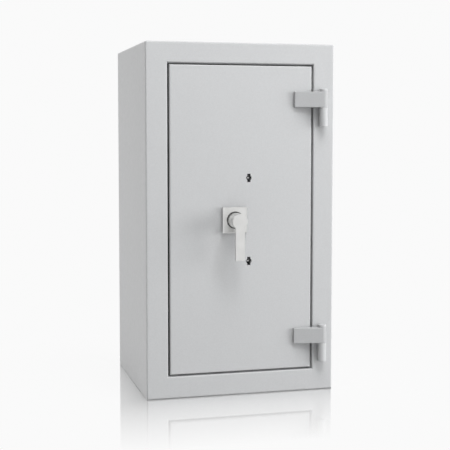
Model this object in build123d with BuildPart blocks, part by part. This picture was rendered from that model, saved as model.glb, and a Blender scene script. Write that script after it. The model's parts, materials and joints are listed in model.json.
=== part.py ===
from build123d import *
from math import asin, atan2, cos, hypot, radians, sin
import os

os.makedirs("parts", exist_ok=True)

# Millimetres. X runs to the right as seen from the front, Y runs into the safe, Z runs up.
# The origin is the middle of the base, and the front face is at Y = -depth / 2.

# Cabinet
height = 1200.0
width = 660.0
depth = 570.0
wall = 70.0
skin = 3.0
liner_skin = 2.0
edge_radius = 6.0
front_edge_radius = 5.5
base_edge_radius = 1.5

# Front frame and door opening
frame_plate = 14.0
border_side = 74.0
border_top = 69.5
border_bottom = 74.5
frame_edge_radius = 4.5
rebate = 18.0
jamb_back = 78.0
jamb_sheet = 3.0
seal_width = 10.0
seal_thickness = 3.0
seal_inset = 3.0

# Floor anchors
anchor_spacing = 300.0
anchor_radius = 8.0
sleeve_wall = 3.0

# Shelves, their rails and clips
rail_thickness = 3.0
rail_width = 20.0
rail_end_gap = 30.0
rail_front_depth = 200.0
rail_back_gap = 70.0
slot_pitch = 40.0
slot_height = 5.0
slot_width = 12.0
lower_shelf_slot = 8
upper_shelf_slot = 17
clip_reach = 10.0
clip_width = 14.0
clip_height = 8.0
clip_gap = 0.2
shelf_front_depth = 140.0
shelf_back_gap = 10.0
shelf_sheet = 1.5
shelf_flange = 25.0
shelf_lip = 12.0
shelf_side_gap = 2.0

# Hinges
hinge_axis_inset = 43.0
knuckle_radius = 14.5
knuckle_gap = 1.0
upper_leaf_gap = 86.0
lower_leaf_gap = 87.5
leaf_height = 54.0
leaf_left_x = 185.0
leaf_end_thickness = 12.0
leaf_edge_radius = 2.5
tip_bevel = 1.5
leaf_foot_inset = 6.0
knuckle_rise = 3.5
cap_radius = 14.0
cap_height = 6.0
cap_rim_radius = 2.5
barrel_length = 58.0
barrel_web = 16.0
pin_radius = 8.0
pin_head = 7.0
pin_head_radius = 2.5
pin_top_gap = 3.0
running_gap = 0.05
washer_radius = 13.5
washer_thickness = 0.9
split_gap = 1.0

# Door
door_gap = 6.5
door_plate_thickness = 10.0
door_edge_radius = 4.5
pan_gap = 10.0
pan_back = 70.0
pan_sheet = 2.0
strip_thickness = 1.8
strip_width = 20.0
strip_front = 30.0
drill_plate_thickness = 6.0
drill_plate_width = 220.0
drill_plate_height = 420.0

# Boltwork chamber on the back of the door
tray_gap = 22.0
tray_hinge_gap = 10.0
tray_back = 125.0
tray_sheet = 2.5
cover_sheet = 2.0
post_radius = 7.0
post_inset = 26.0
middle_post_x = -130.0
screw_radius = 3.0
screw_length = 10.0
screw_head_radius = 5.0
screw_head = 3.0

# Bolts
bolt_radius = 12.0
bolt_depth = 96.0
bolt_rest_out = 4.0
bolt_gap = 0.3
bolt_inner_offset = 140.0
bolt_outer_offset = 380.0
bar_setback = 40.0
bar_thickness = 8.0
bar_width = 36.0
bar_end = 30.0
stud_radius = 5.0
rivet_radius = 8.0
rivet_height = 3.0
cross_half_width = 150.0
cross_bolt_x = 110.0
dog_radius = 10.0
dog_out = 20.0
dog_flange_radius = 14.0
dog_flange = 5.0

# Handle
handle_x = -26.0
rosette_width = 85.0
rosette_height = 88.0
rosette_thickness = 14.0
rosette_bevel = 2.5
rosette_hole = 29.5
hub_radius = 26.0
hub_gap = 1.0
handle_reach = 80.0
lever_length = 130.5
lever_width = 31.0
lever_thickness = 13.0
lever_blend = 9.0
lever_edge = 1.2
spindle_square = 12.0
spindle_socket = 66.0
spindle_radius = 9.0
bush_wall = 4.0
grub_radius = 3.0
grub_length = 14.0
grub_reach = 35.0

# Drive cam, its pins and the plates that they move
cam_front = 74.0
cam_thickness = 6.0
cam_radius = 32.0
cam_pin_reach = 22.0
cam_pin_radius = 5.0
cam_pin_gap = 0.8
slot_end_gap = 0.5
handle_swing = 90.0
plate_thickness = 5.0
link_front = 82.0
top_rod_front = 89.0
bottom_rod_front = 96.0
pin_past_plate = 1.0
rod_width = 26.0
rod_end = 11.0
link_top = 32.0
link_height = 24.0
lobe_half_width = 12.0
lobe_top = 6.0
guide_wall = 4.0
guide_height = 16.0
guide_gap = 0.5
inner_guide_offset = 235.0
outer_guide_setback = 65.0

# Keyholes and key guides
key_x = 26.0
key_offset = 142.0
keyhole_width = 12.0
keyhole_height = 29.0
keyhole_radius = 9.5
guide_bore_gap = 0.5
guide_radius = 18.0
key_pin_radius = 2.5
key_pin_front = 12.0

# Locks
lock_wall = 3.0
lock_half_height = 45.0
lock_right_x = 88.0
lock_back = 96.0
lock_cover_sheet = 2.0
boss_radius = 5.0
boss_inset = 6.0
lock_screw_radius = 2.5
lock_screw_front = 60.0
lock_screw_head_radius = 4.5
lock_screw_head = 3.0
drum_radius = 14.0
drum_journal_radius = 13.0
drum_front = 70.5
drum_slot_width = 6.0
drum_slot_height = 24.0
drum_back_gap = 1.0
drum_web = 3.0
drum_pin_reach = 10.0
drum_pin_radius = 2.5
drum_pin_gap = 0.45
drum_pin_past = 0.5
key_swing = 90.0
lock_bolt_width = 15.0
lock_bolt_right_x = 75.0
lock_bolt_half_height = 16.0
lock_bolt_tip_inset = 1.0
lock_bolt_gap = 0.25
tab_gap = 2.0
tab_width = 11.0
lever_post_x = 48.0
lever_post_offset = 32.0
lever_post_radius = 4.0
lever_shoulder_radius = 6.0
lever_count = 4
lever_plate = 1.5
lever_pitch = 1.6
lever_plate_width = 46.0
lever_plate_height = 32.0
lever_plate_left_x = 28.0
lever_plate_inset = 2.0

# Worked-out places, seen from the front
front_y = -depth / 2
half_width = width / 2
opening_half = half_width - border_side
opening_top = height - border_top
opening_bottom = border_bottom
door_mid_z = (opening_top + opening_bottom) / 2
door_half = opening_half - door_gap
door_half_height = (opening_top - opening_bottom) / 2 - door_gap
throat_half = opening_half - rebate
throat_half_height = (opening_top - opening_bottom) / 2 - rebate
inner_half = half_width - wall
inner_top = height - wall
inner_bottom = wall
inner_back = depth - wall
rail_back_depth = inner_back - rail_back_gap
shelf_length = inner_back - shelf_front_depth - shelf_back_gap
pan_half = throat_half - pan_gap
pan_half_height = throat_half_height - pan_gap
tray_left = -throat_half + tray_gap
tray_right = throat_half - tray_hinge_gap
tray_top = door_mid_z + throat_half_height - tray_gap
tray_bottom = door_mid_z - throat_half_height + tray_gap
tray_mid_x = (tray_left + tray_right) / 2
tray_width = tray_right - tray_left
tray_height = tray_top - tray_bottom
hinge_x = half_width - hinge_axis_inset
hinge_out = knuckle_radius + knuckle_gap
upper_split_z = door_mid_z + door_half_height - upper_leaf_gap - leaf_height - split_gap / 2
lower_split_z = door_mid_z - door_half_height + lower_leaf_gap - split_gap / 2
pin_throw = 2 * cam_pin_reach * sin(radians(handle_swing / 2))
pin_side = pin_throw / 2
slot_middle = (cam_pin_reach + pin_side) / 2
pin_slot_width = 2 * (cam_pin_radius + cam_pin_gap)
pin_slot_length = cam_pin_reach - pin_side + pin_slot_width + 2 * slot_end_gap
bolt_heights = [door_mid_z + side * offset for side in (-1, 1) for offset in (bolt_inner_offset, bolt_outer_offset)]
bar_left_x = tray_left + bar_setback
outer_guide_inset = bar_setback + bar_thickness + outer_guide_setback
top_guide_heights = [door_mid_z + inner_guide_offset, tray_top - outer_guide_inset]
bottom_guide_heights = [door_mid_z - inner_guide_offset, tray_bottom + outer_guide_inset]
top_rod_x = handle_x - slot_middle
bottom_rod_x = handle_x + slot_middle
key_drop = 2 * drum_pin_reach * sin(radians(key_swing / 2))
lock_left_x = key_x - drum_radius - lock_wall
lock_width = lock_right_x - lock_left_x
lock_mid_x = (lock_right_x + lock_left_x) / 2
drum_back = link_front - drum_back_gap
lever_front = link_front + plate_thickness + lever_pitch


def front_plane(distance):
    """Plane parallel to the front, this far behind it, seen as from the front and facing it."""
    return Plane(origin=(0, front_y + distance, 0), x_dir=(1, 0, 0), z_dir=(0, -1, 0))


def side_plane(x):
    """Plane at this X, facing +X, with Y across and Z up."""
    return Plane(origin=(x, 0, 0), x_dir=(0, 1, 0), z_dir=(1, 0, 0))


def save(piece, name):
    """Label one finished piece and write it."""
    piece.label = name
    export_step(piece, f"parts/{name}.step")


# Outer wrap: left side, top and right side folded from one sheet
with BuildPart() as outer_wrap:
    with BuildSketch(front_plane(depth - skin)):
        with Locations((0, (height + skin) / 2)):
            Rectangle(width, height - skin)
        with Locations((0, height / 2)):
            Rectangle(width - 2 * skin, height - 2 * skin, mode=Mode.SUBTRACT)
        with Locations((0, skin)):
            Rectangle(width - 2 * skin, 2 * skin, mode=Mode.SUBTRACT)
    extrude(amount=depth - skin - frame_plate)
    fillet(outer_wrap.edges().filter_by(Axis.Y).group_by(Axis.Z)[-1], edge_radius)

# Base plate
with BuildPart() as base_plate:
    with BuildSketch(Plane.XY):
        with Locations((0, frame_plate / 2)):
            Rectangle(width, depth - frame_plate)
        with GridLocations(anchor_spacing, 0, 2, 1):
            Circle(anchor_radius, mode=Mode.SUBTRACT)
    extrude(amount=skin)
    fillet(base_plate.edges().filter_by(Axis.Y).group_by(Axis.Z)[0], base_edge_radius)

# Back plate
with BuildPart() as back_plate:
    with BuildSketch(front_plane(depth)):
        with Locations((0, (height + skin) / 2)):
            Rectangle(width, height - skin)
    extrude(amount=skin)
    fillet(back_plate.edges().filter_by(Axis.Y).group_by(Axis.Z)[-1], edge_radius)

# Front frame: thick ring whose inner and outer edges are rounded at the front
with BuildPart() as front_frame:
    with BuildSketch(front_plane(frame_plate)):
        with Locations((0, height / 2)):
            Rectangle(width, height)
    extrude(amount=frame_plate)
    fillet(front_frame.edges().filter_by(Axis.Y).group_by(Axis.Z)[-1], edge_radius)
    fillet(front_frame.faces().sort_by(Axis.Y)[0].edges(), front_edge_radius)
    with BuildSketch(front_plane(frame_plate)):
        with Locations((0, door_mid_z)):
            Rectangle(2 * opening_half, opening_top - opening_bottom)
    extrude(amount=frame_plate, mode=Mode.SUBTRACT)
    fillet(front_frame.faces().sort_by(Axis.Y)[0].inner_wires()[0].edges(), frame_edge_radius)

# Door jamb: channel section round the throat, open outwards
with BuildPart() as door_jamb:
    with BuildSketch(front_plane(jamb_back)):
        with Locations((0, height / 2)):
            Rectangle(2 * (inner_half + liner_skin), inner_top - inner_bottom + 2 * liner_skin)
        with Locations((0, door_mid_z)):
            Rectangle(2 * throat_half, 2 * throat_half_height, mode=Mode.SUBTRACT)
    extrude(amount=jamb_back - frame_plate)
    with BuildSketch(front_plane(jamb_back - jamb_sheet)):
        with Locations((0, height / 2)):
            Rectangle(2 * (inner_half + liner_skin), inner_top - inner_bottom + 2 * liner_skin)
        with Locations((0, door_mid_z)):
            Rectangle(
                2 * (throat_half + jamb_sheet),
                2 * (throat_half_height + jamb_sheet),
                mode=Mode.SUBTRACT,
            )
    extrude(amount=jamb_back - frame_plate - 2 * jamb_sheet, mode=Mode.SUBTRACT)

# Inner liner: five-sided box with the two anchor holes in its floor
with BuildPart() as inner_liner:
    with BuildSketch(front_plane(inner_back + liner_skin)):
        with Locations((0, height / 2)):
            Rectangle(2 * (inner_half + liner_skin), inner_top - inner_bottom + 2 * liner_skin)
    extrude(amount=inner_back + liner_skin - jamb_back)
    with BuildSketch(front_plane(inner_back)):
        with Locations((0, height / 2)):
            Rectangle(2 * inner_half, inner_top - inner_bottom)
    extrude(amount=inner_back - jamb_back, mode=Mode.SUBTRACT)
    with BuildSketch(Plane.XY.offset(inner_bottom - liner_skin)):
        with GridLocations(anchor_spacing, 0, 2, 1):
            Circle(anchor_radius)
    extrude(amount=liner_skin, mode=Mode.SUBTRACT)

# Cabinet fill: everything between the skins, the jamb and the liner
with BuildPart() as cabinet_fill:
    with BuildSketch(front_plane(depth - skin)):
        with Locations((0, height / 2)):
            Rectangle(width - 2 * skin, height - 2 * skin)
    extrude(amount=depth - skin - frame_plate)
    with BuildSketch(front_plane(inner_back + liner_skin)):
        with Locations((0, height / 2)):
            Rectangle(2 * (inner_half + liner_skin), inner_top - inner_bottom + 2 * liner_skin)
    extrude(amount=inner_back + liner_skin - jamb_back + jamb_sheet, mode=Mode.SUBTRACT)
    with BuildSketch(front_plane(jamb_back)):
        with Locations((0, door_mid_z)):
            Rectangle(2 * (throat_half + jamb_sheet), 2 * (throat_half_height + jamb_sheet))
    extrude(amount=jamb_back - frame_plate, mode=Mode.SUBTRACT)
    with BuildSketch(front_plane(frame_plate + jamb_sheet)):
        with Locations((0, height / 2)):
            Rectangle(2 * (inner_half + liner_skin), inner_top - inner_bottom + 2 * liner_skin)
    extrude(amount=jamb_sheet, mode=Mode.SUBTRACT)
    with BuildSketch(Plane.XY.offset(skin)):
        with GridLocations(anchor_spacing, 0, 2, 1):
            Circle(anchor_radius + sleeve_wall)
    extrude(amount=inner_bottom - liner_skin - skin, mode=Mode.SUBTRACT)

# Anchor sleeves, from the base plate up to the liner floor
with BuildPart() as anchor_sleeves:
    with BuildSketch(Plane.XY.offset(skin)):
        with GridLocations(anchor_spacing, 0, 2, 1):
            Circle(anchor_radius + sleeve_wall)
            Circle(anchor_radius, mode=Mode.SUBTRACT)
    extrude(amount=inner_bottom - liner_skin - skin)

# Frame seal on the jamb's front flange
seal_outer_half = opening_half - seal_inset
seal_outer_half_height = (opening_top - opening_bottom) / 2 - seal_inset
with BuildPart() as frame_seal:
    with BuildSketch(front_plane(frame_plate)):
        with Locations((0, door_mid_z)):
            Rectangle(2 * seal_outer_half, 2 * seal_outer_half_height)
            Rectangle(
                2 * (seal_outer_half - seal_width),
                2 * (seal_outer_half_height - seal_width),
                mode=Mode.SUBTRACT,
            )
    extrude(amount=seal_thickness)

for name, piece in {
    "outer_wrap": outer_wrap,
    "base_plate": base_plate,
    "back_plate": back_plate,
    "front_frame": front_frame,
    "door_jamb": door_jamb,
    "inner_liner": inner_liner,
    "cabinet_fill": cabinet_fill,
    "anchor_sleeves": anchor_sleeves,
    "frame_seal": frame_seal,
}.items():
    save(piece.part, name)

# Shelf rails, clips and shelves
rail_bottom = inner_bottom + rail_end_gap
rail_top = inner_top - rail_end_gap
slot_count = int((rail_top - rail_bottom) / slot_pitch)


def slot_z(number):
    """Height of the middle of one rail slot, counted from the bottom."""
    return rail_bottom + (number + 0.5) * slot_pitch


def shelf_rail(side, rail_depth):
    """Upright strip with slots, flat against the left (-1) or right (1) wall."""
    with BuildPart() as rail:
        with BuildSketch(side_plane(side * inner_half)):
            with Locations((front_y + rail_depth, (rail_bottom + rail_top) / 2)):
                Rectangle(rail_width, rail_top - rail_bottom)
            with Locations(*[(front_y + rail_depth, slot_z(number)) for number in range(slot_count)]):
                Rectangle(slot_width, slot_height, mode=Mode.SUBTRACT)
        extrude(amount=-side * rail_thickness)
    return rail.part


rail_places = [(side, place) for side in (-1, 1) for place in (rail_front_depth, rail_back_depth)]
for number, (side, place) in enumerate(rail_places, start=1):
    save(shelf_rail(side, place), f"shelf_rail_{number}")

clip_heights = [slot_z(lower_shelf_slot), slot_z(upper_shelf_slot)]
rail_face = inner_half - rail_thickness
with BuildPart() as shelf_clips:
    for side in (-1, 1):
        for place in (rail_front_depth, rail_back_depth):
            for level in clip_heights:
                with BuildSketch(side_plane(side * rail_face)):
                    with Locations((front_y + place, level)):
                        Rectangle(clip_width, clip_height)
                extrude(amount=-side * clip_reach)
                with BuildSketch(side_plane(side * rail_face)):
                    with Locations((front_y + place, level)):
                        Rectangle(slot_width - 2 * clip_gap, slot_height - 2 * clip_gap)
                extrude(amount=side * (rail_thickness - clip_gap))
save(shelf_clips.part, "shelf_clips")


def shelf(level):
    """Sheet shelf that lies on its clips, with a turned-down flange and lip at the front and back."""
    underside = level + clip_height / 2
    shelf_width = 2 * (rail_face - shelf_side_gap)
    front = front_y + shelf_front_depth
    back = front + shelf_length
    bottom = underside + shelf_sheet - shelf_flange
    with BuildPart() as tray:
        with BuildSketch(side_plane(-shelf_width / 2)):
            with Locations(((front + back) / 2, underside + shelf_sheet / 2)):
                Rectangle(shelf_length, shelf_sheet)
            for edge, inward in ((front, 1), (back, -1)):
                with Locations((edge + inward * shelf_sheet / 2, bottom + shelf_flange / 2)):
                    Rectangle(shelf_sheet, shelf_flange)
                with Locations((edge + inward * shelf_lip / 2, bottom + shelf_sheet / 2)):
                    Rectangle(shelf_lip, shelf_sheet)
        extrude(amount=shelf_width)
    return tray.part


for name, level in zip(("lower_shelf", "upper_shelf"), clip_heights):
    save(shelf(level), name)


# Hinges: the leaf's front slopes from its thin left end to where it touches the knuckle
axis_y = front_y - hinge_out
leaf_end_y = front_y - leaf_end_thickness
axis_distance = hypot(hinge_x - leaf_left_x, axis_y - leaf_end_y)
slope = atan2(axis_y - leaf_end_y, hinge_x - leaf_left_x) - asin(knuckle_radius / axis_distance)
slope_length = (axis_distance**2 - knuckle_radius**2) ** 0.5
leaf_plan = [
    (leaf_left_x, front_y - knuckle_gap),
    (leaf_left_x, leaf_end_y),
    (leaf_left_x + slope_length * cos(slope), leaf_end_y + slope_length * sin(slope)),
    (hinge_x, axis_y),
    (hinge_x, front_y - knuckle_gap),
]


def hinge_leaf(split_z):
    """Wedge welded on the door, with the upper half of the hinge barrel at its right end."""
    bottom = split_z + split_gap / 2
    with BuildPart() as leaf:
        with BuildSketch(Plane.XY.offset(bottom)):
            Polygon(*leaf_plan, align=None)
        extrude(amount=leaf_height)
        end_edges = leaf.faces().sort_by(Axis.X)[0].edges()
        sloped_face = leaf.faces().sort_by(lambda face: face.normal_at().Y)[0]
        long_edges = sloped_face.edges().sort_by(Axis.X)[1:3]
        fillet(end_edges + long_edges, leaf_edge_radius)
        with BuildSketch(Plane.XY.offset(bottom + leaf_edge_radius)):
            foot_right = door_half - leaf_foot_inset
            foot_left = leaf_left_x + leaf_edge_radius
            with Locations(((foot_left + foot_right) / 2, front_y - knuckle_gap / 2)):
                Rectangle(foot_right - foot_left, knuckle_gap)
        extrude(amount=leaf_height - 2 * leaf_edge_radius)
        with BuildSketch(Plane.XY.offset(bottom)):
            with Locations((hinge_x, axis_y)):
                Circle(knuckle_radius)
        extrude(amount=leaf_height + knuckle_rise)
        with BuildSketch(Plane.XY.offset(bottom)):
            with Locations((hinge_x, axis_y)):
                Circle(pin_radius + running_gap)
        extrude(amount=leaf_height + knuckle_rise, mode=Mode.SUBTRACT)
    return leaf.part


def hinge_barrel(split_z):
    """Lower half of the hinge barrel, with the web that is welded to the frame."""
    top = split_z - split_gap / 2
    with BuildPart() as barrel:
        with BuildSketch(Plane.XY.offset(top - barrel_length)):
            with Locations((hinge_x, axis_y)):
                Circle(knuckle_radius)
            with Locations((hinge_x, (axis_y + front_y) / 2)):
                Rectangle(barrel_web, hinge_out)
            with Locations((hinge_x, axis_y)):
                Circle(pin_radius, mode=Mode.SUBTRACT)
        extrude(amount=barrel_length)
    return barrel.part


def hinge_pin(split_z):
    """Pin pressed into the lower half, with a rounded head under it."""
    head_top = split_z - split_gap / 2 - barrel_length
    shaft_top = split_z + split_gap / 2 + leaf_height + knuckle_rise - pin_top_gap
    with BuildPart() as pin:
        with BuildSketch(Plane.XY.offset(head_top - pin_head)):
            with Locations((hinge_x, axis_y)):
                Circle(knuckle_radius)
        extrude(amount=pin_head)
        fillet(pin.edges().group_by(Axis.Z)[0], pin_head_radius)
        with BuildSketch(Plane.XY.offset(head_top)):
            with Locations((hinge_x, axis_y)):
                Circle(pin_radius)
        extrude(amount=shaft_top - head_top)
        chamfer(pin.edges().group_by(Axis.Z)[-1], tip_bevel)
    return pin.part


for name, split_z in (("upper", upper_split_z), ("lower", lower_split_z)):
    save(hinge_leaf(split_z), f"{name}_hinge_leaf")
    save(hinge_barrel(split_z), f"{name}_hinge_barrel")
    save(hinge_pin(split_z), f"{name}_hinge_pin")

with BuildPart() as hinge_washers:
    for split_z in (upper_split_z, lower_split_z):
        with BuildSketch(Plane.XY.offset(split_z - split_gap / 2)):
            with Locations((hinge_x, axis_y)):
                Circle(washer_radius)
                Circle(pin_radius, mode=Mode.SUBTRACT)
        extrude(amount=washer_thickness)
save(hinge_washers.part, "hinge_washers")

with BuildPart() as hinge_caps:
    for split_z in (upper_split_z, lower_split_z):
        with BuildSketch(Plane.XY.offset(split_z + split_gap / 2 + leaf_height + knuckle_rise)):
            with Locations((hinge_x, axis_y)):
                Circle(cap_radius)
        extrude(amount=cap_height)
    cap_rims = hinge_caps.edges().filter_by(GeomType.CIRCLE).group_by(Axis.Z)
    fillet(cap_rims[1] + cap_rims[3], cap_rim_radius)
save(hinge_caps.part, "hinge_caps")


# Door plate with its spindle hole and keyholes
bush_radius = spindle_radius + running_gap + bush_wall
key_heights = {"upper": door_mid_z + key_offset, "lower": door_mid_z - key_offset}
key_centres = [(key_x, level) for level in key_heights.values()]
with BuildPart() as door_plate:
    with BuildSketch(front_plane(door_plate_thickness)):
        with Locations((0, door_mid_z)):
            Rectangle(2 * door_half, 2 * door_half_height)
    extrude(amount=door_plate_thickness)
    fillet(door_plate.faces().sort_by(Axis.Y)[0].edges(), door_edge_radius)
    with BuildSketch(front_plane(door_plate_thickness)):
        with Locations((handle_x, door_mid_z)):
            Circle(bush_radius)
        with Locations(*key_centres):
            Rectangle(keyhole_width, keyhole_height)
            Circle(keyhole_radius)
    extrude(amount=door_plate_thickness, mode=Mode.SUBTRACT)

# Drill plate behind the door plate, over the lock area
with BuildPart() as drill_plate:
    with BuildSketch(front_plane(door_plate_thickness + drill_plate_thickness)):
        with Locations((0, door_mid_z)):
            Rectangle(drill_plate_width, drill_plate_height)
        with Locations((handle_x, door_mid_z)):
            Circle(bush_radius, mode=Mode.SUBTRACT)
        with Locations(*key_centres):
            Circle(guide_radius, mode=Mode.SUBTRACT)
    extrude(amount=drill_plate_thickness)

# Where the lock screws go through into the door
screw_xs = [lock_left_x + boss_inset, lock_right_x - boss_inset]
screw_rise = lock_half_height - boss_inset
lock_screw_places = [
    (x, level + side * screw_rise) for level in key_heights.values() for x in screw_xs for side in (-1, 1)
]

# Door pan: shallow steel box that closes the door's filling
with BuildPart() as door_pan:
    with BuildSketch(front_plane(pan_back)):
        with Locations((0, door_mid_z)):
            Rectangle(2 * pan_half, 2 * pan_half_height)
    extrude(amount=pan_back - door_plate_thickness)
    with BuildSketch(front_plane(pan_back - pan_sheet)):
        with Locations((0, door_mid_z)):
            Rectangle(2 * (pan_half - pan_sheet), 2 * (pan_half_height - pan_sheet))
    extrude(amount=pan_back - pan_sheet - door_plate_thickness, mode=Mode.SUBTRACT)
    with BuildSketch(front_plane(pan_back)):
        with Locations((handle_x, door_mid_z)):
            Circle(bush_radius)
        with Locations(*key_centres):
            Circle(guide_radius)
        with Locations(*lock_screw_places):
            Circle(lock_screw_radius)
    extrude(amount=pan_sheet, mode=Mode.SUBTRACT)

# Door fill
with BuildPart() as door_fill:
    with BuildSketch(front_plane(pan_back - pan_sheet)):
        with Locations((0, door_mid_z)):
            Rectangle(2 * (pan_half - pan_sheet), 2 * (pan_half_height - pan_sheet))
        with Locations((handle_x, door_mid_z)):
            Circle(bush_radius, mode=Mode.SUBTRACT)
        with Locations(*key_centres):
            Circle(guide_radius, mode=Mode.SUBTRACT)
    extrude(amount=pan_back - pan_sheet - door_plate_thickness)
    with BuildSketch(front_plane(door_plate_thickness + drill_plate_thickness)):
        with Locations((0, door_mid_z)):
            Rectangle(drill_plate_width, drill_plate_height)
    extrude(amount=drill_plate_thickness, mode=Mode.SUBTRACT)
    with BuildSketch(front_plane(pan_back - pan_sheet)):
        with Locations(*lock_screw_places):
            Circle(lock_screw_radius)
    extrude(amount=pan_back - pan_sheet - lock_screw_front, mode=Mode.SUBTRACT)

# Fire strip round the pan
with BuildPart() as fire_strip:
    with BuildSketch(front_plane(strip_front + strip_width)):
        with Locations((0, door_mid_z)):
            Rectangle(2 * (pan_half + strip_thickness), 2 * (pan_half_height + strip_thickness))
            Rectangle(2 * pan_half, 2 * pan_half_height, mode=Mode.SUBTRACT)
    extrude(amount=strip_width)

for name, piece in {
    "door_plate": door_plate,
    "drill_plate": drill_plate,
    "door_pan": door_pan,
    "door_fill": door_fill,
    "fire_strip": fire_strip,
}.items():
    save(piece.part, name)


# Boltwork tray: ring of sheet on the back of the pan, with a hole for each bolt and dog
cross_bolt_places = [(-cross_bolt_x, front_y + bolt_depth), (cross_bolt_x, front_y + bolt_depth)]
side_bolt_places = [(front_y + bolt_depth, level) for level in bolt_heights]
with BuildPart() as boltwork_tray:
    with BuildSketch(front_plane(tray_back)):
        with Locations((tray_mid_x, door_mid_z)):
            Rectangle(tray_width, tray_height)
            Rectangle(tray_width - 2 * tray_sheet, tray_height - 2 * tray_sheet, mode=Mode.SUBTRACT)
    extrude(amount=tray_back - pan_back)
    with BuildSketch(side_plane(tray_left)):
        with Locations(*side_bolt_places):
            Circle(bolt_radius + bolt_gap)
    extrude(amount=tray_sheet, mode=Mode.SUBTRACT)
    with BuildSketch(side_plane(tray_right - tray_sheet)):
        with Locations(*side_bolt_places):
            Circle(dog_radius)
    extrude(amount=tray_sheet, mode=Mode.SUBTRACT)
    for level in (tray_bottom, tray_top - tray_sheet):
        with BuildSketch(Plane.XY.offset(level)):
            with Locations(*cross_bolt_places):
                Circle(bolt_radius + bolt_gap)
        extrude(amount=tray_sheet, mode=Mode.SUBTRACT)

# Posts that carry the cover, the cover and its screws
post_places = [
    (x, level)
    for x in (tray_left + post_inset, tray_right - post_inset)
    for level in (tray_bottom + post_inset, tray_top - post_inset)
] + [(middle_post_x, door_mid_z), (tray_right - post_inset, door_mid_z)]
with BuildPart() as cover_posts:
    with BuildSketch(front_plane(tray_back)):
        with Locations(*post_places):
            Circle(post_radius)
    extrude(amount=tray_back - pan_back)
    with BuildSketch(front_plane(tray_back)):
        with Locations(*post_places):
            Circle(screw_radius)
    extrude(amount=screw_length, mode=Mode.SUBTRACT)

with BuildPart() as boltwork_cover:
    with BuildSketch(front_plane(tray_back + cover_sheet)):
        with Locations((tray_mid_x, door_mid_z)):
            Rectangle(tray_width, tray_height)
        with Locations(*post_places):
            Circle(screw_radius, mode=Mode.SUBTRACT)
    extrude(amount=cover_sheet)

with BuildPart() as cover_screws:
    with BuildSketch(front_plane(tray_back + cover_sheet)):
        with Locations(*post_places):
            Circle(screw_radius)
    extrude(amount=cover_sheet + screw_length)
    with BuildSketch(front_plane(tray_back + cover_sheet + screw_head)):
        with Locations(*post_places):
            Circle(screw_head_radius)
    extrude(amount=screw_head)

# Fixed dogs on the hinge side, held by a flange inside the tray
with BuildPart() as fixed_dogs:
    with BuildSketch(side_plane(tray_right - tray_sheet)):
        with Locations(*side_bolt_places):
            Circle(dog_radius)
    extrude(amount=tray_sheet + dog_out)
    chamfer(fixed_dogs.faces().group_by(Axis.X)[-1].edges(), tip_bevel)
    with BuildSketch(side_plane(tray_right - tray_sheet)):
        with Locations(*side_bolt_places):
            Circle(dog_flange_radius)
    extrude(amount=-dog_flange)

# Guides that hold the two rods against the pan
guide_places = [(top_rod_x, level, top_rod_front) for level in top_guide_heights]
guide_places += [(bottom_rod_x, level, bottom_rod_front) for level in bottom_guide_heights]
with BuildPart() as rod_guides:
    for x, level, rod_front in guide_places:
        rod_back = rod_front + plate_thickness
        with BuildSketch(front_plane(rod_back + guide_gap + guide_wall)):
            with Locations((x, level)):
                Rectangle(rod_width + 2 * (guide_gap + guide_wall), guide_height)
        extrude(amount=rod_back + guide_gap + guide_wall - pan_back)
        with BuildSketch(front_plane(rod_back + guide_gap)):
            with Locations((x, level)):
                Rectangle(rod_width + 2 * guide_gap, guide_height)
        extrude(amount=plate_thickness + 2 * guide_gap, mode=Mode.SUBTRACT)

for name, piece in {
    "boltwork_tray": boltwork_tray,
    "cover_posts": cover_posts,
    "boltwork_cover": boltwork_cover,
    "cover_screws": cover_screws,
    "fixed_dogs": fixed_dogs,
    "rod_guides": rod_guides,
}.items():
    save(piece.part, name)


# Rosette: square plate with bevelled edges round the handle's hub
with BuildPart() as handle_rosette:
    with BuildSketch(front_plane(0)):
        with Locations((handle_x, door_mid_z)):
            Rectangle(rosette_width, rosette_height)
    extrude(amount=rosette_thickness)
    chamfer(handle_rosette.faces().sort_by(Axis.Y)[0].edges(), rosette_bevel)
    with BuildSketch(front_plane(0)):
        with Locations((handle_x, door_mid_z)):
            Circle(rosette_hole)
    extrude(amount=rosette_thickness, mode=Mode.SUBTRACT)

# Bush through the door for the spindle
with BuildPart() as spindle_bush:
    with BuildSketch(front_plane(pan_back)):
        with Locations((handle_x, door_mid_z)):
            Circle(bush_radius)
            Circle(spindle_radius + running_gap, mode=Mode.SUBTRACT)
    extrude(amount=pan_back)

# Lever handle: round hub and flat lever that hangs from its front
with BuildPart() as lever_handle:
    with BuildSketch(front_plane(-handle_reach + lever_thickness)) as lever_outline:
        with Locations((handle_x, door_mid_z)):
            Circle(hub_radius)
        with Locations((handle_x, door_mid_z - lever_length / 2)):
            Rectangle(lever_width, lever_length)
        fillet(lever_outline.vertices().group_by(Axis.Y)[-1], lever_blend)
    extrude(amount=lever_thickness)
    fillet(lever_handle.faces().sort_by(Axis.Y)[0].edges(), lever_edge)
    with BuildSketch(front_plane(-hub_gap)):
        with Locations((handle_x, door_mid_z)):
            Circle(hub_radius)
    extrude(amount=handle_reach - lever_thickness - hub_gap)
    with BuildSketch(front_plane(-hub_gap)):
        with Locations((handle_x, door_mid_z)):
            Rectangle(spindle_square, spindle_square)
    extrude(amount=spindle_socket - hub_gap, mode=Mode.SUBTRACT)
    with BuildSketch(side_plane(handle_x)):
        with Locations((front_y - grub_reach, door_mid_z)):
            Circle(grub_radius)
    extrude(amount=hub_radius, mode=Mode.SUBTRACT)

with BuildPart() as grub_screw:
    with BuildSketch(side_plane(handle_x + spindle_square / 2)):
        with Locations((front_y - grub_reach, door_mid_z)):
            Circle(grub_radius)
    extrude(amount=grub_length)

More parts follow.
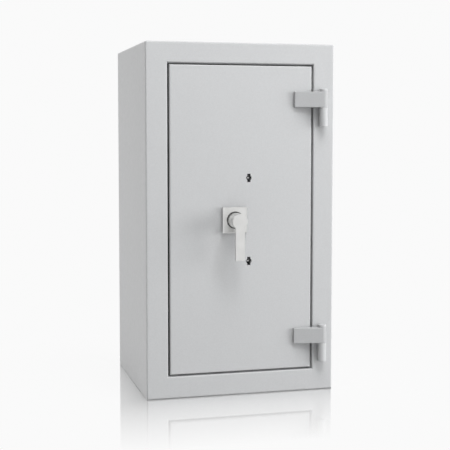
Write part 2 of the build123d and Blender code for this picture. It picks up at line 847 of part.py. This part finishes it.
# Spindle: square in the hub, round in the bush, square in the cam
cam_back = cam_front + cam_thickness
with BuildPart() as spindle:
    with BuildSketch(front_plane(cam_back)):
        with Locations((handle_x, door_mid_z)):
            Rectangle(spindle_square, spindle_square)
    extrude(amount=cam_back + spindle_socket)
    with BuildSketch(front_plane(cam_front)):
        with Locations((handle_x, door_mid_z)):
            Circle(spindle_radius)
    extrude(amount=cam_front)

# Cam pins, at the lower right, lower left and upper right of the axis: side bar, top rod, bottom rod
cam_pins_at = [
    (handle_x + pin_side, door_mid_z - pin_side, link_front),
    (handle_x - pin_side, door_mid_z - pin_side, top_rod_front),
    (handle_x + pin_side, door_mid_z + pin_side, bottom_rod_front),
]
with BuildPart() as drive_cam:
    with BuildSketch(front_plane(cam_back)):
        with Locations((handle_x, door_mid_z)):
            Circle(cam_radius)
            Rectangle(spindle_square, spindle_square, mode=Mode.SUBTRACT)
        with Locations(*[(x, z) for x, z, _ in cam_pins_at]):
            Circle(cam_pin_radius, mode=Mode.SUBTRACT)
    extrude(amount=cam_thickness)

with BuildPart() as cam_pins:
    for x, z, plate_front in cam_pins_at:
        pin_end = plate_front + plate_thickness + pin_past_plate
        with BuildSketch(front_plane(pin_end)):
            with Locations((x, z)):
                Circle(cam_pin_radius)
        extrude(amount=pin_end - cam_front)

for name, piece in {
    "handle_rosette": handle_rosette,
    "spindle_bush": spindle_bush,
    "lever_handle": lever_handle,
    "grub_screw": grub_screw,
    "spindle": spindle,
    "drive_cam": drive_cam,
    "cam_pins": cam_pins,
}.items():
    save(piece.part, name)


# Side bolts: each has a stud through the bar and a rivet head behind it
bar_right_x = bar_left_x + bar_thickness
with BuildPart() as side_bolts:
    with BuildSketch(side_plane(bar_left_x)):
        with Locations(*side_bolt_places):
            Circle(bolt_radius)
    extrude(amount=-(bar_setback + bolt_rest_out))
    chamfer(side_bolts.faces().group_by(Axis.X)[0].edges(), tip_bevel)
    with BuildSketch(side_plane(bar_left_x)):
        with Locations(*side_bolt_places):
            Circle(stud_radius)
    extrude(amount=bar_thickness)
    with BuildSketch(side_plane(bar_right_x)):
        with Locations(*side_bolt_places):
            Circle(rivet_radius)
    extrude(amount=rivet_height)

with BuildPart() as bolt_bar:
    with BuildSketch(side_plane(bar_left_x)):
        with Locations((front_y + bolt_depth, door_mid_z)):
            Rectangle(bar_width, 2 * (bolt_outer_offset + bar_end))
        with Locations(*side_bolt_places):
            Circle(stud_radius, mode=Mode.SUBTRACT)
    extrude(amount=bar_thickness)

# Drive link: plate from the bolt bar past the cam, with a tab that reaches up and down to the locks
tab_left_x = lock_bolt_right_x + tab_gap
tab_half_height = key_offset - lock_half_height - tab_gap
link_right_x = tab_left_x + tab_width
link_mid_z = door_mid_z - link_top - link_height / 2
with BuildPart() as drive_link:
    with BuildSketch(front_plane(link_front + plate_thickness)):
        with Locations(((bar_right_x + link_right_x) / 2, link_mid_z)):
            Rectangle(link_right_x - bar_right_x, link_height)
        with Locations((handle_x + pin_side, door_mid_z - (link_top + lobe_top) / 2)):
            Rectangle(2 * lobe_half_width, link_top - lobe_top)
        with Locations((tab_left_x + tab_width / 2, door_mid_z)):
            Rectangle(tab_width, 2 * tab_half_height)
        with Locations((handle_x + pin_side, door_mid_z - slot_middle)):
            SlotOverall(pin_slot_length, pin_slot_width, rotation=90, mode=Mode.SUBTRACT)
    extrude(amount=plate_thickness)


def cross_rod(direction, rod_x, rod_front):
    """Flat rod from the cam to a cross bar near the top (1) or bottom (-1) of the chamber."""
    wall_z = tray_top if direction > 0 else tray_bottom
    bar_far_z = wall_z - direction * bar_setback
    bar_near_z = bar_far_z - direction * bar_thickness
    slot_z_at_rest = door_mid_z - direction * pin_side
    end_z = slot_z_at_rest - direction * rod_end
    with BuildPart() as rod:
        with BuildSketch(front_plane(rod_front + plate_thickness)):
            with Locations((rod_x, (end_z + bar_near_z) / 2)):
                Rectangle(rod_width, abs(bar_near_z - end_z))
            with Locations((rod_x, slot_z_at_rest)):
                SlotOverall(pin_slot_length, pin_slot_width, mode=Mode.SUBTRACT)
        extrude(amount=plate_thickness)
        with BuildSketch(Plane.XY.offset(bar_near_z)):
            with Locations((0, front_y + bolt_depth)):
                Rectangle(2 * cross_half_width, bar_width)
            with Locations(*cross_bolt_places):
                Circle(stud_radius, mode=Mode.SUBTRACT)
        extrude(amount=direction * bar_thickness)
    return rod.part


def cross_bolts(direction):
    """Two bolts on a cross bar, riveted through it."""
    wall_z = tray_top if direction > 0 else tray_bottom
    bar_far_z = wall_z - direction * bar_setback
    bar_near_z = bar_far_z - direction * bar_thickness
    with BuildPart() as bolts:
        with BuildSketch(Plane.XY.offset(bar_far_z)):
            with Locations(*cross_bolt_places):
                Circle(bolt_radius)
        extrude(amount=direction * (bar_setback + bolt_rest_out))
        tips = bolts.faces().filter_by(Axis.Z).sort_by(Axis.Z, reverse=direction > 0)[0:2]
        chamfer(tips.edges(), tip_bevel)
        with BuildSketch(Plane.XY.offset(bar_far_z)):
            with Locations(*cross_bolt_places):
                Circle(stud_radius)
        extrude(amount=-direction * bar_thickness)
        with BuildSketch(Plane.XY.offset(bar_near_z)):
            with Locations(*cross_bolt_places):
                Circle(rivet_radius)
        extrude(amount=-direction * rivet_height)
    return bolts.part


save(side_bolts.part, "side_bolts")
save(bolt_bar.part, "bolt_bar")
save(drive_link.part, "drive_link")
save(cross_rod(1, top_rod_x, top_rod_front), "top_rod")
save(cross_rod(-1, bottom_rod_x, bottom_rod_front), "bottom_rod")
save(cross_bolts(1), "top_bolts")
save(cross_bolts(-1), "bottom_bolts")


# Key guides: tubes from the door plate to the locks, with a keyhole-shaped bore
with BuildPart() as key_guides:
    with BuildSketch(front_plane(pan_back)):
        with Locations(*key_centres):
            Circle(guide_radius)
            Rectangle(
                keyhole_width + 2 * guide_bore_gap,
                keyhole_height + 2 * guide_bore_gap,
                mode=Mode.SUBTRACT,
            )
            Circle(keyhole_radius + guide_bore_gap, mode=Mode.SUBTRACT)
    extrude(amount=pan_back - door_plate_thickness)
save(key_guides.part, "key_guides")


def lock_case(level, side):
    """Lock body open to the back. Side is 1 for the upper lock, whose bolt drops, and -1 for the lower."""
    corner_places = [(x, level + rise) for x in screw_xs for rise in (-screw_rise, screw_rise)]
    post = (lever_post_x, level + side * lever_post_offset)
    with BuildPart() as case:
        with BuildSketch(front_plane(lock_back)):
            with Locations((lock_mid_x, level)):
                Rectangle(lock_width, 2 * lock_half_height)
        extrude(amount=lock_back - pan_back)
        with BuildSketch(front_plane(lock_back)):
            with Locations((lock_mid_x, level)):
                Rectangle(lock_width - 2 * lock_wall, 2 * (lock_half_height - lock_wall))
            with Locations(*corner_places):
                Circle(boss_radius, mode=Mode.SUBTRACT)
            with Locations(post):
                Circle(lever_shoulder_radius, mode=Mode.SUBTRACT)
        extrude(amount=lock_back - pan_back - lock_wall, mode=Mode.SUBTRACT)
        with BuildSketch(front_plane(lock_back)):
            with Locations(post):
                Circle(lever_shoulder_radius)
                Circle(lever_post_radius, mode=Mode.SUBTRACT)
        extrude(amount=lock_back - lever_front, mode=Mode.SUBTRACT)
        with BuildSketch(front_plane(lock_back)):
            with Locations(*corner_places):
                Circle(lock_screw_radius)
            with Locations((key_x, level)):
                Circle(drum_journal_radius + running_gap)
        extrude(amount=lock_back - pan_back, mode=Mode.SUBTRACT)
        with BuildSketch(front_plane(link_front + plate_thickness + lock_bolt_gap)):
            with Locations(
                (
                    lock_bolt_right_x - lock_bolt_width / 2,
                    level - side * (lock_half_height - lock_wall / 2),
                )
            ):
                Rectangle(lock_bolt_width + 2 * lock_bolt_gap, lock_wall)
        extrude(amount=plate_thickness + 2 * lock_bolt_gap, mode=Mode.SUBTRACT)
    return case.part


def key_drum(level, side):
    """Drum with the key slot, the pin that the key's end goes over, and the pin that moves the lock bolt."""
    pin_at = (key_x + key_drop / 2, level + side * key_drop / 2)
    drum_seat = pan_back + lock_wall + 2 * running_gap
    drum_pin_end = link_front + plate_thickness + drum_pin_past
    with BuildPart() as drum:
        with BuildSketch(front_plane(drum_back)):
            with Locations((key_x, level)):
                Circle(drum_radius)
        extrude(amount=drum_back - drum_seat)
        with BuildSketch(front_plane(drum_seat)):
            with Locations((key_x, level)):
                Circle(drum_journal_radius)
        extrude(amount=drum_seat - drum_front)
        with BuildSketch(front_plane(drum_back - drum_web)):
            with Locations((key_x, level)):
                Rectangle(drum_slot_width, drum_slot_height)
        extrude(amount=drum_back - drum_web - drum_front, mode=Mode.SUBTRACT)
        with BuildSketch(front_plane(drum_back - drum_web)):
            with Locations((key_x, level)):
                Circle(key_pin_radius)
        extrude(amount=drum_back - drum_web - key_pin_front)
        with BuildSketch(front_plane(drum_pin_end)):
            with Locations(pin_at):
                Circle(drum_pin_radius)
        extrude(amount=drum_pin_end - drum_back)
    return drum.part


def lock_bolt(level, side):
    """Plate that the drum's pin moves, with a nose that blocks the drive link's tab."""
    slot_x = key_x + (drum_pin_reach + key_drop / 2) / 2
    bolt_slot_width = 2 * (drum_pin_radius + drum_pin_gap)
    bolt_slot_length = drum_pin_reach - key_drop / 2 + bolt_slot_width + 2 * slot_end_gap
    nose_length = lock_half_height - lock_bolt_tip_inset - lock_bolt_half_height
    with BuildPart() as bolt:
        with BuildSketch(front_plane(link_front + plate_thickness)):
            with Locations(((key_x + lock_bolt_right_x) / 2, level)):
                Rectangle(lock_bolt_right_x - key_x, 2 * lock_bolt_half_height)
            with Locations(
                (
                    lock_bolt_right_x - lock_bolt_width / 2,
                    level - side * (lock_bolt_half_height + nose_length / 2),
                )
            ):
                Rectangle(lock_bolt_width, nose_length)
            with Locations((slot_x, level + side * key_drop / 2)):
                SlotOverall(bolt_slot_length, bolt_slot_width, mode=Mode.SUBTRACT)
        extrude(amount=plate_thickness)
    return bolt.part


for name, side in (("upper", 1), ("lower", -1)):
    level = key_heights[name]
    save(lock_case(level, side), f"{name}_lock_case")
    save(key_drum(level, side), f"{name}_key_drum")
    save(lock_bolt(level, side), f"{name}_lock_bolt")

# Lock levers: a stack of thin plates on each post
with BuildPart() as lock_levers:
    for name, side in (("upper", 1), ("lower", -1)):
        level = key_heights[name]
        outer_z = level + side * (lock_half_height - lock_wall - lever_plate_inset)
        for number in range(lever_count):
            with BuildSketch(front_plane(lever_front + number * lever_pitch + lever_plate)):
                with Locations(
                    (
                        lever_plate_left_x + lever_plate_width / 2,
                        outer_z - side * lever_plate_height / 2,
                    )
                ):
                    Rectangle(lever_plate_width, lever_plate_height)
                with Locations((lever_post_x, level + side * lever_post_offset)):
                    Circle(lever_post_radius, mode=Mode.SUBTRACT)
            extrude(amount=lever_plate)
save(lock_levers.part, "lock_levers")

# Lock covers and the screws through them
with BuildPart() as lock_covers:
    with BuildSketch(front_plane(lock_back + lock_cover_sheet)):
        for level in key_heights.values():
            with Locations((lock_mid_x, level)):
                Rectangle(lock_width, 2 * lock_half_height)
        with Locations(*lock_screw_places):
            Circle(lock_screw_radius, mode=Mode.SUBTRACT)
    extrude(amount=lock_cover_sheet)
save(lock_covers.part, "lock_covers")

with BuildPart() as lock_screws:
    with BuildSketch(front_plane(lock_back + lock_cover_sheet)):
        with Locations(*lock_screw_places):
            Circle(lock_screw_radius)
    extrude(amount=lock_back + lock_cover_sheet - lock_screw_front)
    with BuildSketch(front_plane(lock_back + lock_cover_sheet + lock_screw_head)):
        with Locations(*lock_screw_places):
            Circle(lock_screw_head_radius)
    extrude(amount=lock_screw_head)
save(lock_screws.part, "lock_screws")
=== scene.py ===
import json
import math

import bpy
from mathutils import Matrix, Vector


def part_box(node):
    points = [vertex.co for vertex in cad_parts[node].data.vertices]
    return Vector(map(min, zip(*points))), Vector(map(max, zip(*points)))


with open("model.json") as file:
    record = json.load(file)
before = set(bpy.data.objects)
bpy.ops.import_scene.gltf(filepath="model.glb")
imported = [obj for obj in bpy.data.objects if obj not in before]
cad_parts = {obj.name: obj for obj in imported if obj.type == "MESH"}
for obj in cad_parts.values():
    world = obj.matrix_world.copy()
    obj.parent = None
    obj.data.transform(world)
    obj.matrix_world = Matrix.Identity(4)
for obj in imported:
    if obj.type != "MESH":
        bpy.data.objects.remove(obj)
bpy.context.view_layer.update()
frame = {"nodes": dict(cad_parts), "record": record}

# Camera: where the photograph was taken from, and its lens in pixels of a 450 pixel frame
frame_pixels = 450
lens_pixels = 1044.7
camera_place = Vector((-0.9577, -3.6947, 0.9024))
camera_yaw = 0.2579
camera_pitch = 0.0704
horizon_pixel = 205
sensor_width = 36

# Light levels
sky_level = 0.22
background_level = 0.955
light_target = Vector((0, 0, 0.6))

# Softboxes: where each is, its power and its width
key_place = Vector((3.4, -4.6, 4.4))
key_power = 86
key_size = 2.4
key_colour = (0.97, 1, 1.03)
top_place = Vector((0.6, -3.0, 6.0))
top_power = 275
top_size = 3.0
right_place = Vector((6.0, -2.8, 1.2))
right_power = 296
right_size = 3.0
left_place = Vector((-4.6, 1.2, 1.0))
left_power = 63
left_size = 2.6
back_place = Vector((0.5, 5.4, 2.6))
back_power = 150
back_size = 3.0

# Floor: how far out and how steeply it fades, how white it is, and its mirror
floor_half = 15
floor_fade = 0.58
floor_fade_power = 0.58
floor_white_seen = 0.9
floor_white_as_light = 0.54
floor_mirror_share = 0.95
floor_matt_roughness = 0.6
floor_mirror_roughness = 0.05

# Colours, as linear red, green and blue
white = (1, 1, 1)
paint_grey = (0.55, 0.555, 0.56)
# Hinge leaves: the body paint's grey made darker, as painted shade for how the light falls on the leaves
hinge_painted_shade_grey = (0.47, 0.475, 0.48)
liner_grey = (0.50, 0.52, 0.53)
silver = (0.75, 0.75, 0.74)
zinc = (0.52, 0.53, 0.54)
steel = (0.60, 0.60, 0.60)
iron = (0.075, 0.075, 0.08)
brass_yellow = (0.62, 0.43, 0.16)
mineral = (0.42, 0.41, 0.38)
black_rubber = (0.018, 0.018, 0.018)

# Noise: the middle of its range, over which colours and roughness change
noise_low = 0.3
noise_high = 0.7

# Powder coat: scales in cycles a metre, depths in metres
speckle_scale = 220
speckle_detail = 2
speckle_tint = 0.025
patch_scale = 60
patch_detail = 2
peel_scale = 260
peel_detail = 2
peel_depth = 0.0004
grain_scale = 1100
grain_detail = 3
grain_depth = 0.00025
coat_specular = 0.4

# Machined metal
mark_scale = 900
mark_detail = 4
mark_depth = 0.0001
smudge_scale = 25
smudge_detail = 2
smudge_dark = 0.95
smudge_light = 1.04

# Zinc plating
crystal_scale = 160
crystal_dark = 0.94
crystal_light = 1.05
crystal_smooth = 0.33
crystal_rough = 0.43
pitting_scale = 700
pitting_detail = 3
pitting_depth = 0.0001
pitting_strength = 0.12

# Cast, mineral and rubber surfaces
mottle_detail = 6
mottle_dark = 0.8
mottle_light = 1.2
mottle_roughness = 0.06
mottle_strength = 0.4


def new_material(name):
    """New node material: the material, its nodes, its links and its surface shader."""
    material = bpy.data.materials.new(name)
    material.use_nodes = True
    tree = material.node_tree
    return material, tree.nodes, tree.links, tree.nodes["Principled BSDF"]


def object_noise(nodes, links, scale, detail, stretch=(1, 1, 1)):
    """Noise in the object's own coordinates, in cycles a metre, coarser along an axis of small stretch."""
    place = nodes.new("ShaderNodeTexCoord")
    mapping = nodes.new("ShaderNodeMapping")
    mapping.inputs["Scale"].default_value = stretch
    links.new(place.outputs["Object"], mapping.inputs["Vector"])
    noise = nodes.new("ShaderNodeTexNoise")
    noise.inputs["Scale"].default_value = scale
    noise.inputs["Detail"].default_value = detail
    links.new(mapping.outputs["Vector"], noise.inputs["Vector"])
    return noise.outputs["Fac"]


def ramp(nodes, links, factor, low, high):
    """Colour from low to high as a factor crosses the middle of its range."""
    colours = nodes.new("ShaderNodeValToRGB")
    colours.color_ramp.elements[0].position = noise_low
    colours.color_ramp.elements[1].position = noise_high
    colours.color_ramp.elements[0].color = (*low, 1)
    colours.color_ramp.elements[1].color = (*high, 1)
    links.new(factor, colours.inputs["Fac"])
    return colours.outputs["Color"]


def spread(nodes, links, factor, low, high):
    """Number from low to high as a factor crosses the middle of its range."""
    span = nodes.new("ShaderNodeMapRange")
    span.inputs["From Min"].default_value = noise_low
    span.inputs["From Max"].default_value = noise_high
    span.inputs["To Min"].default_value = low
    span.inputs["To Max"].default_value = high
    links.new(factor, span.inputs["Value"])
    return span.outputs["Result"]


def bump(nodes, links, height, depth, strength, under=None):
    """Bump from a height, laid over the bump under it."""
    bumped = nodes.new("ShaderNodeBump")
    bumped.inputs["Distance"].default_value = depth
    bumped.inputs["Strength"].default_value = strength
    links.new(height, bumped.inputs["Height"])
    if under:
        links.new(under, bumped.inputs["Normal"])
    return bumped.outputs["Normal"]


def tint(colour, factor):
    """Colour made lighter or darker by a factor."""
    return tuple(min(1, channel * factor) for channel in colour)


def powder_coat(name, colour, smooth, rough, grain):
    """Fine-textured powder coat: a grain of about a millimetre over a faint orange peel."""
    material, nodes, links, surface = new_material(name)
    speckle = object_noise(nodes, links, speckle_scale, speckle_detail)
    shade = ramp(nodes, links, speckle, tint(colour, 1 - speckle_tint), tint(colour, 1 + speckle_tint))
    links.new(shade, surface.inputs["Base Color"])
    patches = object_noise(nodes, links, patch_scale, patch_detail)
    links.new(spread(nodes, links, patches, smooth, rough), surface.inputs["Roughness"])
    peel = bump(nodes, links, object_noise(nodes, links, peel_scale, peel_detail), peel_depth, grain)
    fine = bump(nodes, links, object_noise(nodes, links, grain_scale, grain_detail), grain_depth, grain, peel)
    links.new(fine, surface.inputs["Normal"])
    surface.inputs["Specular IOR Level"].default_value = coat_specular
    return material


def machined(name, colour, smooth, rough, stretch, scratch):
    """Bare metal with fine marks that run along the axis with the smallest stretch."""
    material, nodes, links, surface = new_material(name)
    surface.inputs["Metallic"].default_value = 1
    marks = object_noise(nodes, links, mark_scale, mark_detail, stretch)
    smudge = object_noise(nodes, links, smudge_scale, smudge_detail)
    shade = ramp(nodes, links, smudge, tint(colour, smudge_dark), tint(colour, smudge_light))
    links.new(shade, surface.inputs["Base Color"])
    links.new(spread(nodes, links, marks, smooth, rough), surface.inputs["Roughness"])
    links.new(bump(nodes, links, marks, mark_depth, scratch), surface.inputs["Normal"])
    return material


def zinc_plate(name, colour):
    """Zinc plating: grey metal with a faint crystal pattern and fine pitting."""
    material, nodes, links, surface = new_material(name)
    surface.inputs["Metallic"].default_value = 1
    place = nodes.new("ShaderNodeTexCoord")
    crystals = nodes.new("ShaderNodeTexVoronoi")
    crystals.inputs["Scale"].default_value = crystal_scale
    links.new(place.outputs["Object"], crystals.inputs["Vector"])
    split = nodes.new("ShaderNodeSeparateColor")
    links.new(crystals.outputs["Color"], split.inputs["Color"])
    crystal = split.outputs["Red"]
    shade = ramp(nodes, links, crystal, tint(colour, crystal_dark), tint(colour, crystal_light))
    links.new(shade, surface.inputs["Base Color"])
    roughness = spread(nodes, links, crystal, crystal_smooth, crystal_rough)
    links.new(roughness, surface.inputs["Roughness"])
    pitting = object_noise(nodes, links, pitting_scale, pitting_detail)
    links.new(bump(nodes, links, pitting, pitting_depth, pitting_strength), surface.inputs["Normal"])
    return material


def rough_solid(name, colour, scale, roughness, depth):
    """Cast, mineral or rubber surface: mottled colour and a coarse bump."""
    material, nodes, links, surface = new_material(name)
    mottle = object_noise(nodes, links, scale, mottle_detail)
    shade = ramp(nodes, links, mottle, tint(colour, mottle_dark), tint(colour, mottle_light))
    links.new(shade, surface.inputs["Base Color"])
    matt = spread(nodes, links, mottle, roughness - mottle_roughness, roughness + mottle_roughness)
    links.new(matt, surface.inputs["Roughness"])
    links.new(bump(nodes, links, mottle, depth, mottle_strength), surface.inputs["Normal"])
    return material


def make_finishes():
    """One material for each material slot of the frame."""
    return {
        "body_paint": powder_coat("body_paint", paint_grey, smooth=0.30, rough=0.38, grain=0.22),
        # The hinge leaves get the body paint darkened, as painted shade
        "hinge_paint": powder_coat("hinge_paint", hinge_painted_shade_grey, smooth=0.30, rough=0.38, grain=0.22),
        "liner_paint": powder_coat("liner_paint", liner_grey, smooth=0.38, rough=0.46, grain=0.18),
        "handle_silver": machined(
            "handle_silver", silver, smooth=0.34, rough=0.42, stretch=(1, 1, 0.06), scratch=0.05
        ),
        "zinc_steel": zinc_plate("zinc_steel", zinc),
        "bright_steel": machined(
            "bright_steel", steel, smooth=0.18, rough=0.28, stretch=(0.08, 1, 1), scratch=0.08
        ),
        "brass": machined("brass", brass_yellow, smooth=0.25, rough=0.35, stretch=(1, 0.1, 1), scratch=0.06),
        "cast": rough_solid("cast", iron, scale=320, roughness=0.62, depth=0.0003),
        "fill": rough_solid("fill", mineral, scale=120, roughness=0.88, depth=0.0008),
        "seal": rough_solid("seal", black_rubber, scale=500, roughness=0.72, depth=0.0002),
    }


def dress_nodes():
    """Gives each node of the frame the finish of its material slot."""
    finishes = make_finishes()
    for entry in frame["record"]["subparts"]:
        node = frame["nodes"][entry["node"]]
        for place in node.material_slots:
            place.link = "OBJECT"
            place.material = finishes[entry["material_slot"]]


def vector_step(nodes, links, operation, vector, second=(0, 0, 0)):
    """One step of vector arithmetic with a fixed second vector."""
    step = nodes.new("ShaderNodeVectorMath")
    step.operation = operation
    step.inputs[1].default_value = second
    links.new(vector, step.inputs[0])
    return step


def number_step(nodes, links, operation, first, second):
    """One step of arithmetic on two numbers, of which the second may be a fixed one."""
    step = nodes.new("ShaderNodeMath")
    step.operation = operation
    links.new(first, step.inputs[0])
    if isinstance(second, float):
        step.inputs[1].default_value = second
    else:
        links.new(second, step.inputs[1])
    return step.outputs["Value"]


def distance_outside(nodes, links, box):
    """Distance on the floor from the footprint of a box."""
    low, high = box
    place = nodes.new("ShaderNodeTexCoord").outputs["Object"]
    middle = ((low[0] + high[0]) / 2, (low[1] + high[1]) / 2, 0)
    half = ((high[0] - low[0]) / 2, (high[1] - low[1]) / 2, 0)
    from_middle = vector_step(nodes, links, "SUBTRACT", place, middle).outputs["Vector"]
    folded = vector_step(nodes, links, "ABSOLUTE", from_middle).outputs["Vector"]
    past_side = vector_step(nodes, links, "SUBTRACT", folded, half).outputs["Vector"]
    outside = vector_step(nodes, links, "MAXIMUM", past_side).outputs["Vector"]
    return vector_step(nodes, links, "LENGTH", outside).outputs["Value"]


def seen_or_mirrored(nodes, links):
    """One for what the camera sees, straight or by way of a shine, and nought for light."""
    path = nodes.new("ShaderNodeLightPath")
    shown = path.outputs["Is Camera Ray"]
    for ray in ("Is Glossy Ray", "Is Transmission Ray"):
        shown = number_step(nodes, links, "MAXIMUM", shown, path.outputs[ray])
    undiffused = number_step(nodes, links, "LESS_THAN", path.outputs["Diffuse Depth"], 1.0)
    return number_step(nodes, links, "MULTIPLY", shown, undiffused)


def mix(nodes, links, share, first, second):
    """Mixture of two shaders, with the given share of the second."""
    mixed = nodes.new("ShaderNodeMixShader")
    links.new(share, mixed.inputs["Fac"])
    links.new(first, mixed.inputs[1])
    links.new(second, mixed.inputs[2])
    return mixed.outputs["Shader"]


def polished_surface(nodes, links, surface, shown):
    """Matt white floor with a mirror over it, which is there only where the floor is seen."""
    added_white = number_step(nodes, links, "MULTIPLY", shown, floor_white_seen - floor_white_as_light)
    floor_white = number_step(nodes, links, "ADD", added_white, floor_white_as_light)
    links.new(floor_white, surface.inputs["Base Color"])
    surface.inputs["Roughness"].default_value = floor_matt_roughness
    mirror = nodes.new("ShaderNodeBsdfGlossy")
    mirror.inputs["Color"].default_value = (*white, 1)
    mirror.inputs["Roughness"].default_value = floor_mirror_roughness
    mirror_share = number_step(nodes, links, "MULTIPLY", shown, floor_mirror_share)
    return mix(nodes, links, mirror_share, surface.outputs["BSDF"], mirror.outputs["BSDF"])


def floor_material():
    """Floor that mirrors near the safe and turns into the plain background further out."""
    material, nodes, links, surface = new_material("floor")
    shown = seen_or_mirrored(nodes, links)
    polished = polished_surface(nodes, links, surface, shown)
    fade = nodes.new("ShaderNodeMapRange")
    fade.inputs["From Max"].default_value = floor_fade
    links.new(distance_outside(nodes, links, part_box("outer_wrap")), fade.inputs["Value"])
    share = number_step(nodes, links, "POWER", fade.outputs["Result"], floor_fade_power)
    share = number_step(nodes, links, "MULTIPLY", share, shown)
    plain = nodes.new("ShaderNodeEmission")
    plain.inputs["Color"].default_value = (background_level, background_level, background_level, 1)
    shader = mix(nodes, links, share, polished, plain.outputs["Emission"])
    links.new(shader, nodes["Material Output"].inputs["Surface"])
    return material


def make_floor():
    """Square floor with its middle under the safe."""
    mesh = bpy.data.meshes.new("floor")
    corners = [(-floor_half, -floor_half, 0), (floor_half, -floor_half, 0)]
    corners += [(floor_half, floor_half, 0), (-floor_half, floor_half, 0)]
    mesh.from_pydata(corners, [], [(0, 1, 2, 3)])
    mesh.materials.append(floor_material())
    floor = bpy.data.objects.new("floor", mesh)
    bpy.context.scene.collection.objects.link(floor)


def make_sky():
    """Even sky: the plain background where it is seen or mirrored, and a lower level as light."""
    world = bpy.data.worlds.new("studio")
    world.use_nodes = True
    bpy.context.scene.world = world
    nodes = world.node_tree.nodes
    links = world.node_tree.links
    light = nodes["Background"]
    light.inputs["Color"].default_value = (*white, 1)
    light.inputs["Strength"].default_value = sky_level
    seen = nodes.new("ShaderNodeBackground")
    seen.inputs["Color"].default_value = (*white, 1)
    seen.inputs["Strength"].default_value = background_level
    share = seen_or_mirrored(nodes, links)
    sky = mix(nodes, links, share, light.outputs["Background"], seen.outputs["Background"])
    links.new(sky, nodes["World Output"].inputs["Surface"])


def make_lamp(name, place, power, size, colour=white):
    """Square softbox that points at the safe and is left out of mirrors, which show the plain background."""
    data = bpy.data.lights.new(name, "AREA")
    data.energy = power
    data.color = colour
    data.size = size
    lamp = bpy.data.objects.new(name, data)
    lamp.location = place
    lamp.visible_camera = False
    lamp.visible_glossy = False
    lamp.rotation_euler = (light_target - place).to_track_quat("-Z", "Y").to_euler()
    bpy.context.scene.collection.objects.link(lamp)


def make_lamps():
    """Five softboxes round the safe."""
    make_lamp("key_light", key_place, key_power, key_size, key_colour)
    make_lamp("top_light", top_place, top_power, top_size)
    make_lamp("right_light", right_place, right_power, right_size)
    make_lamp("left_light", left_place, left_power, left_size)
    make_lamp("back_light", back_place, back_power, back_size)


def make_camera():
    """Camera at the photograph's place, tilted down a little, with a shift that frames the safe."""
    data = bpy.data.cameras.new("camera")
    data.sensor_width = sensor_width
    data.lens = sensor_width * lens_pixels / frame_pixels
    data.shift_y = (horizon_pixel - frame_pixels / 2) / frame_pixels
    camera = bpy.data.objects.new("camera", data)
    camera.location = camera_place
    camera.rotation_euler = (math.pi / 2 - camera_pitch, 0, -camera_yaw)
    bpy.context.scene.collection.objects.link(camera)
    bpy.context.scene.camera = camera


dress_nodes()
make_floor()
make_sky()
make_lamps()
make_camera()
bpy.context.scene.view_settings.view_transform = "Standard"
